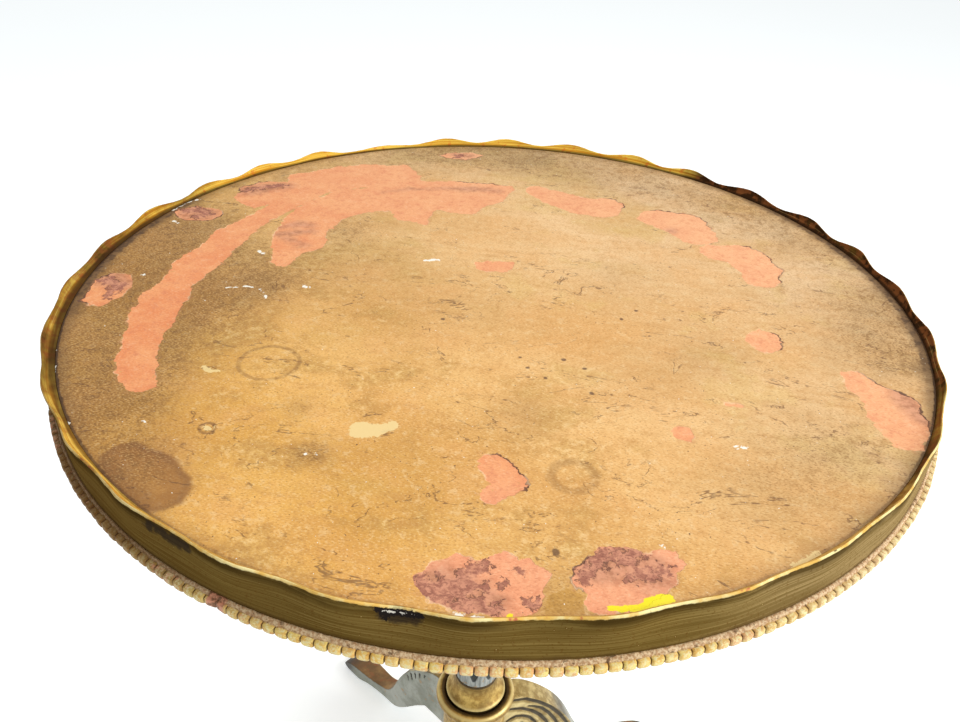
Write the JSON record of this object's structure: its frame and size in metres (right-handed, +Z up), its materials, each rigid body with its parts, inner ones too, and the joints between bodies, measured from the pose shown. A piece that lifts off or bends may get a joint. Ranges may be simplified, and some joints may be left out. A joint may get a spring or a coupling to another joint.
{
  "type": "tray top table",
  "caption": "Round gilt-wood side table with a scalloped tray rim, a beaded edge, a fluted column and carved scroll legs.",
  "frame": {"origin": "on the floor, on the column's axis, at the middle of the bounding box's bottom face", "axes": "+Z up along the column; one scallop crest lies on +X, the battens run along Y, and the legs point at 24, 144 and 264 degrees from +X"},
  "size_m": [0.7324, 0.7324, 0.7468],
  "materials": {
    "panel": "worn ochre-gold paint over salmon bole",
    "gallery": "dark olive gilding, brushed along the wall",
    "beading": "pale gilding with salmon wear",
    "turning": "antique gold leaf, dark in the hollows",
    "shaft": "blue-grey wash, dark in the flutes",
    "carving": "antique gold leaf over carved wood",
    "framing": "bare, darkened with age",
    "steel": "dull, slightly rusted",
    "felt": "felt"
  },
  "bodies": {
    "root": {"top_panel": "panel", "gallery_band": "gallery", "bead_moulding": "beading", "batten_left": "framing", "batten_right": "framing", "top_block": "framing", "block_screw_1": "steel", "block_screw_2": "steel", "block_screw_3": "steel", "block_screw_4": "steel", "batten_screw_1": "steel", "batten_screw_2": "steel", "batten_screw_3": "steel", "batten_screw_4": "steel", "batten_screw_5": "steel", "batten_screw_6": "steel", "column_capital": "turning", "column_shaft": "shaft", "shaft_wedge": "framing", "flared_collar": "turning", "column_ring": "turning", "leg_hub": "carving", "leg_1": "carving", "leg_2": "carving", "leg_3": "carving", "leg_plate": "steel", "plate_screw_1": "steel", "plate_screw_2": "steel", "plate_screw_3": "steel", "drop_finial": "turning", "foot_pad_1": "felt", "foot_pad_2": "felt", "foot_pad_3": "felt"}
  },
  "joints": []
}
